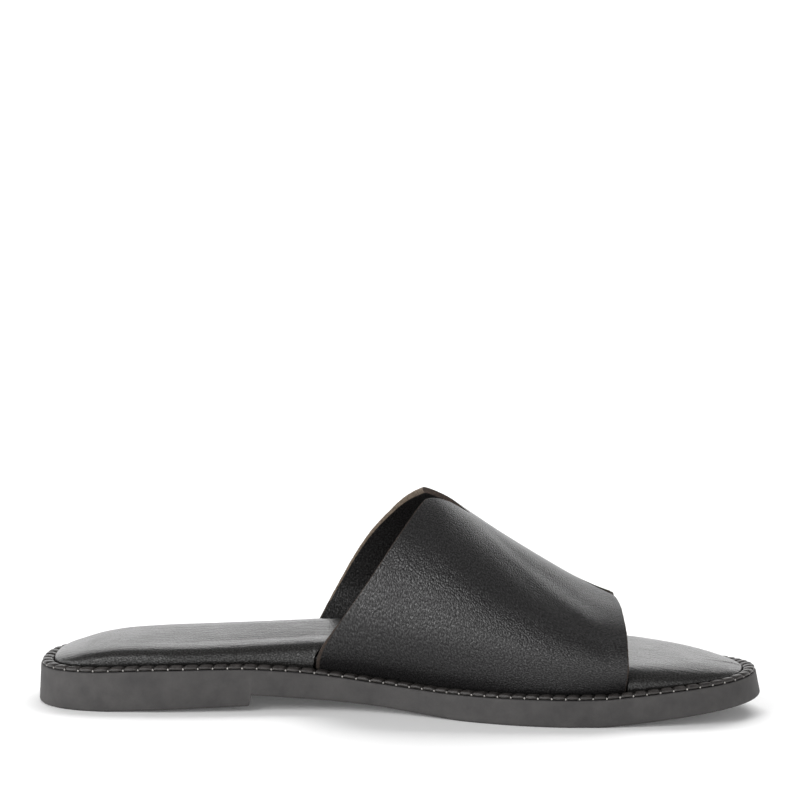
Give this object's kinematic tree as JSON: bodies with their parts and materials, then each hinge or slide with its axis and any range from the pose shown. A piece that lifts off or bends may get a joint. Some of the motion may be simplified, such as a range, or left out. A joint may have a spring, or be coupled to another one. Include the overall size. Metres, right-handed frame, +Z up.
{
  "type": "slide sandal",
  "caption": "Flat slide sandal: a wide notched leather band over a padded footbed, a stitched welt and a rubber outsole with a low heel",
  "frame": {"origin": "middle of the bounding box in plan, on the floor that the sole stands on", "axes": "+X points to the toe, +Y to the outer (lateral) side of the foot, +Z up"},
  "size_m": [0.258, 0.0912, 0.0758],
  "materials": {
    "outsole_rubber": "moulded matte rubber, charcoal grey",
    "welt_leather": "black leather strip, notched and stitched",
    "footbed_leather": "soft black lining leather, satin",
    "upper_leather": "grained black leather, satin, raw cut edges"
  },
  "bodies": {
    "root": {"outsole": "outsole_rubber", "welt": "welt_leather", "footbed": "footbed_leather", "upper": "upper_leather"}
  },
  "joints": []
}
